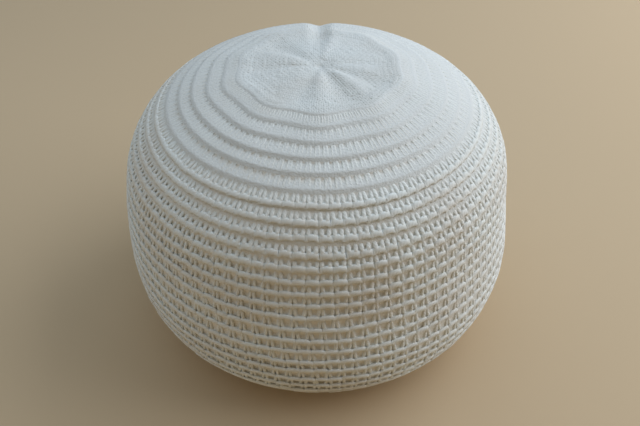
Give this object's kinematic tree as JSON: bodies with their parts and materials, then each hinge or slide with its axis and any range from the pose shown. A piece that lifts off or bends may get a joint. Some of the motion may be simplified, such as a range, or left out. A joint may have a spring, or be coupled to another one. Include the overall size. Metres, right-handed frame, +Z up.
{
  "type": "knitted round cushion",
  "caption": "Round knitted floor cushion, domed and low-bellied, with garter ridges all round, a gathered plain crown and a flat underside to rest on.",
  "frame": {"origin": "middle of the flat underside, on the floor that the cushion rests on", "axes": "+Z up through the gathered crown; the sewn seam runs from the crown over the +Y shoulder, and -Y is the front"},
  "size_m": [0.4507, 0.4508, 0.3219],
  "materials": {
    "knitted_yarn": "matt cream plied cotton yarn, knitted in garter ridges"
  },
  "bodies": {
    "root": {"knitted_cushion": "knitted_yarn"}
  },
  "joints": []
}
